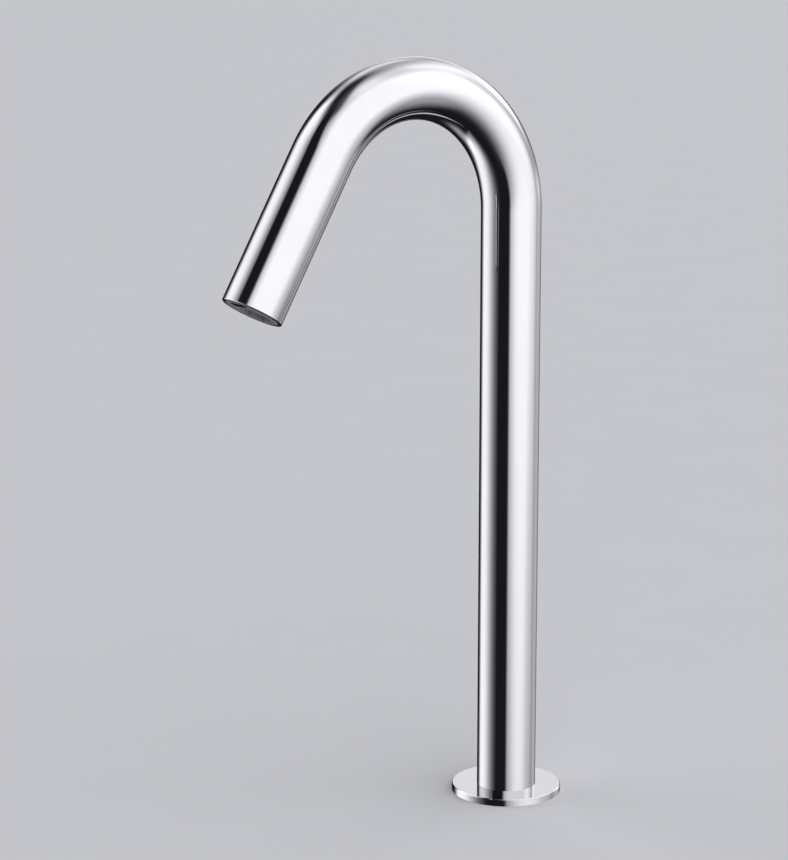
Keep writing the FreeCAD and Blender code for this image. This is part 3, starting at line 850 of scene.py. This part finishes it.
# %% Turned brass
def turned_brass():
    """Yellow brass: tarnish in 9 mm clouds, less on sharp edges, and rings 0.4 mm apart."""
    material, tree, shader, place = new_material("turned_brass", metallic=1.0)
    parts = add_node(tree, "ShaderNodeSeparateXYZ", {"Vector": place}).outputs
    level = add_node(tree, "ShaderNodeCombineXYZ", {"X": parts["X"], "Y": parts["Y"]})
    reach = add_node(tree, "ShaderNodeVectorMath", {0: level.outputs[0]}, operation="LENGTH")
    ring = add_node(tree, "ShaderNodeCombineXYZ", {"X": reach.outputs["Value"], "Z": parts["Z"]})
    marks = add_node(tree, "ShaderNodeTexNoise", {"Vector": ring.outputs[0]},
                     {"Scale": 1 / (0.4 * MM), "Detail": 2})
    clouds = add_node(tree, "ShaderNodeTexNoise", {"Vector": place},
                      {"Scale": 1 / (9 * MM), "Detail": 5})
    edges = add_node(tree, "ShaderNodeNewGeometry").outputs["Pointiness"]
    flat_place, sharp_edge = 0.5, 0.56            # what Pointiness says of them
    rubbed = add_node(tree, "ShaderNodeMapRange", {"Value": edges},
                      {"From Min": flat_place, "From Max": sharp_edge, "To Min": 1.0, "To Max": 0.1})
    tarnish = add_node(tree, "ShaderNodeMath", {0: clouds.outputs["Fac"], 1: rubbed.outputs[0]},
                       operation="MULTIPLY")
    vary(tree, shader, ("#E9D196", "#AE8C4E"), tarnish.outputs[0], (0.2, 0.34),
         marks.outputs["Fac"], 0.006 * MM, marks.outputs["Fac"])
    return material


finishes["brass"] = turned_brass()

# %% [markdown]
# The other metals were rolled or drawn, which leaves fine straight lines one way. A
# Mapping node squeezes the place along the lines before the noise reads it, so each speck
# of noise is pulled out into a line twenty times as long as it is wide.

# %% Rolled and drawn metals
def drawn_metal(name, colours, roughness, line, along, clouds):
    """Lines of the given width that run along X, Y or Z, over clouds of colour."""
    material, tree, shader, place = new_material(name, metallic=1.0)
    squeeze = [LINE_SQUEEZE if axis == along else 1.0 for axis in "XYZ"]
    stretched = add_node(tree, "ShaderNodeMapping", {"Vector": place}, {"Scale": squeeze})
    lines = add_node(tree, "ShaderNodeTexNoise", {"Vector": stretched.outputs[0]},
                     {"Scale": 1 / line, "Detail": 3})
    patches = add_node(tree, "ShaderNodeTexNoise", {"Vector": place},
                       {"Scale": 1 / clouds, "Detail": 3})
    vary(tree, shader, colours, patches.outputs["Fac"], roughness, lines.outputs["Fac"],
         0.01 * MM, lines.outputs["Fac"])
    return material


# Rolled steel, stamped and zinc plated: blue-white, with the passivation's yellow cast in patches.
finishes["zinc_steel"] = drawn_metal("zinc_plated_steel", ("#BFC6CE", "#C2C0B2"), (0.28, 0.45),
                                     line=0.5 * MM, along="X", clouds=5 * MM)
# Drawn stainless steel: warmer and darker than the chrome, with lines along the draw.
finishes["stainless"] = drawn_metal("drawn_stainless_steel", ("#BDBAB4", "#AFACA6"), (0.2, 0.34),
                                    line=0.3 * MM, along="Z", clouds=4 * MM)
# Gold flash on drawn brass pins: a rich yellow, almost polished.
finishes["gold_pin"] = drawn_metal("gold_plated_pins", ("#E8C268", "#DDB355"), (0.12, 0.2),
                                   line=0.2 * MM, along="Z", clouds=2 * MM)

# %% [markdown]
# Plastics and rubbers are coloured all through and take their surface from a steel tool.
# A spark-eroded tool gives a fine sandy grain and a polished one nearly none. The
# material's flow leaves clouds of slightly different colour. Grain under 0.2 mm would
# vanish in a picture, so it is drawn at 0.25 mm or more.

# %% Moulded, extruded and cast materials
def moulded(name, colours, roughness, grain, relief, clouds=6 * MM, along=None, **values):
    """Sandy grain of a given size and height over clouds of colour, drawn out along one axis if named.

    The grain is noise over the place divided by the grain's size, and its tops are rougher
    than its hollows. Any other value, such as a coat or an IOR, goes to the shader.
    """
    material, tree, shader, place = new_material(name, **values)
    squeeze = [LINE_SQUEEZE if axis == along else 1.0 for axis in "XYZ"]
    stretched = add_node(tree, "ShaderNodeMapping", {"Vector": place}, {"Scale": squeeze})
    sand = add_node(tree, "ShaderNodeTexNoise", {"Vector": stretched.outputs[0]},
                    {"Scale": 1 / grain, "Detail": 2})
    flow = add_node(tree, "ShaderNodeTexNoise", {"Vector": stretched.outputs[0]},
                    {"Scale": 1 / clouds, "Detail": 3})
    vary(tree, shader, colours, flow.outputs["Fac"], roughness, sand.outputs["Fac"],
         relief, sand.outputs["Fac"])
    return material


# %% Plastics of the outlet
# Grey acetal from a spark-eroded tool: the tap's only dull surface you can see, matt and slightly sandy.
finishes["grey_plastic"] = moulded("moulded_grey_acetal", ("#8C8D91", "#848589"), (0.42, 0.56),
                                   grain=0.35 * MM, relief=0.012 * MM, ior=1.48)
# White acetal from a smooth tool: milky, so a little light travels under its skin.
finishes["white_plastic"] = moulded("moulded_white_acetal", ("#EAE9E3", "#E0DFD8"), (0.3, 0.4),
                                    grain=0.5 * MM, relief=0.004 * MM, ior=1.48,
                                    subsurface_weight=0.15, subsurface_radius=(2 * MM, 2 * MM, 1.5 * MM))
# Blue acetal: the flow regulator's colour tells its flow rate.
finishes["blue_plastic"] = moulded("moulded_blue_acetal", ("#2F4E8C", "#294680"), (0.3, 0.42),
                                   grain=0.5 * MM, relief=0.004 * MM, ior=1.48)

# %% Plastics of the sensor
# Black ABS, carbon-filled so that no infrared leaks round the window: dull, with a grey cast.
finishes["black_plastic"] = moulded("moulded_black_abs", ("#1D1D1F", "#26262A"), (0.4, 0.55),
                                    grain=0.3 * MM, relief=0.008 * MM, ior=1.54)
# Polycarbonate that only infrared gets through: black to the eye, faintly purple, polished.
finishes["dark_lens"] = moulded("polished_infrared_polycarbonate", ("#120C14", "#180E1C"), (0.05, 0.1),
                                grain=3 * MM, relief=0.002 * MM, ior=1.585, coat_weight=0.3,
                                coat_roughness=0.03)
# Cast epoxy round the diodes: water-clear with a blue dye.
finishes["diode_resin"] = moulded("cast_diode_epoxy", ("#B9C4E0", "#A9B6DA"), (0.08, 0.14),
                                  grain=1.5 * MM, relief=0.002 * MM, ior=1.55, transmission_weight=0.7)
# Potting resin poured over the board: honey-coloured, with a skin that shrank a little.
finishes["clear_resin"] = moulded("poured_potting_resin", ("#CFC08F", "#BDAA74"), (0.12, 0.25),
                                  grain=2.5 * MM, relief=0.03 * MM, ior=1.52, transmission_weight=0.4)
# Green lacquer over woven glass and copper: glossy, darker where there is no copper under it.
finishes["circuit_board"] = moulded("solder_mask_on_glass_fibre", ("#12502A", "#2B7A45"), (0.2, 0.32),
                                    grain=0.6 * MM, relief=0.01 * MM, clouds=1.2 * MM, ior=1.5)

# %% Rubbers and hoses
# Moulded EPDM: black with a grey bloom, and dull because its surface scatters light widely.
finishes["black_rubber"] = moulded("moulded_epdm_rubber", ("#19191A", "#272728"), (0.62, 0.8),
                                   grain=0.4 * MM, relief=0.01 * MM, ior=1.5)
# Moulded silicone: brick red with a waxy sheen.
finishes["red_rubber"] = moulded("moulded_red_silicone", ("#98372B", "#86301F"), (0.4, 0.55),
                                 grain=0.4 * MM, relief=0.006 * MM, ior=1.43,
                                 subsurface_weight=0.1, subsurface_radius=(2 * MM, 1 * MM, 0.8 * MM))
# Extruded polyethylene hose: milky white, with faint lines along its length from the die.
finishes["water_hose"] = moulded("extruded_polyethylene", ("#DEDDD6", "#D2D1C9"), (0.35, 0.5),
                                 grain=0.4 * MM, relief=0.006 * MM, along="Z", ior=1.51)
# Extruded soft PVC round the sensor's lead: black and satin, with the die's lines.
finishes["lead_jacket"] = moulded("extruded_soft_pvc", ("#1B1B1C", "#232325"), (0.45, 0.6),
                                  grain=0.3 * MM, relief=0.006 * MM, along="Z", ior=1.53)

print(len(finishes), "finishes")

# %% [markdown]
# The record names a material slot for each part, so one loop gives each engineering part
# that still shows its finish. The new pieces said their slots when they were made.

# %% Put the finishes on
for row in frame["record"]["subparts"]:
    part = frame["nodes"][row["node"]]
    part.data.materials.clear()
    part.data.materials.append(finishes[row["material_slot"]])

new_pieces = [chrome_tube, chrome_flange, threaded_shank, shank_plug, brass_nut, threaded_cage]
for piece in new_pieces:
    piece.data.materials.append(finishes[piece["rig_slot"]])

shown = [part.name for part in frame["nodes"].values() if not part.hide_render]
print(len(new_pieces), "new pieces and", len(shown), "engineering parts dressed")

# %% [markdown]
# ## The two boxes
#
# The box round the dressed tap must be no larger than the engineering one. Both boxes
# are printed in millimetres.

# %% Print the boxes
dressed_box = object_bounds()
for name, box in (("engineering", engineering_box), ("dressed", dressed_box)):
    print(name, "box in mm:", [[round(v / MM, 2) for v in corner] for corner in box])
